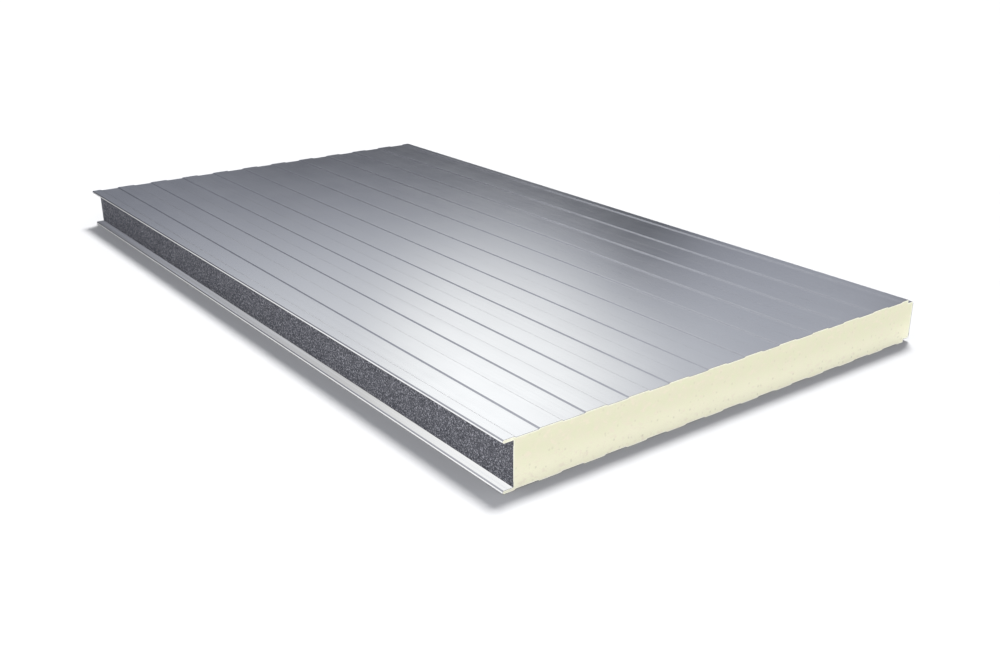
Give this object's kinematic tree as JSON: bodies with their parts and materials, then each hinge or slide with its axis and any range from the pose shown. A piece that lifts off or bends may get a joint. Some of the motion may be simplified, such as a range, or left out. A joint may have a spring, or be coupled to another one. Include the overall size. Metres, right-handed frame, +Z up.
{
  "type": "insulated sandwich panel",
  "caption": "Insulated sandwich panel with shallow ribbed steel facings on a rigid foam core, lapped lips and a groove on one long side and a stepped tongue on the other.",
  "frame": {"origin": "middle of the underside, on the plane that the panel lies on", "axes": "+Z up through the thickness, +Y along the length, +X across the width from the groove side to the tongue side"},
  "size_m": [1.119, 2, 0.1],
  "materials": {
    "steel_facing": "satin metallic silver coating on galvanised steel",
    "rigid_foam": "sawn rigid foam, fine closed cells",
    "side_tape": "grainy dark grey sealing tape"
  },
  "bodies": {
    "root": {"top_sheet": "steel_facing", "bottom_sheet": "steel_facing", "foam_core": "rigid_foam", "groove_tape": "side_tape", "tongue_tape": "side_tape"}
  },
  "joints": []
}
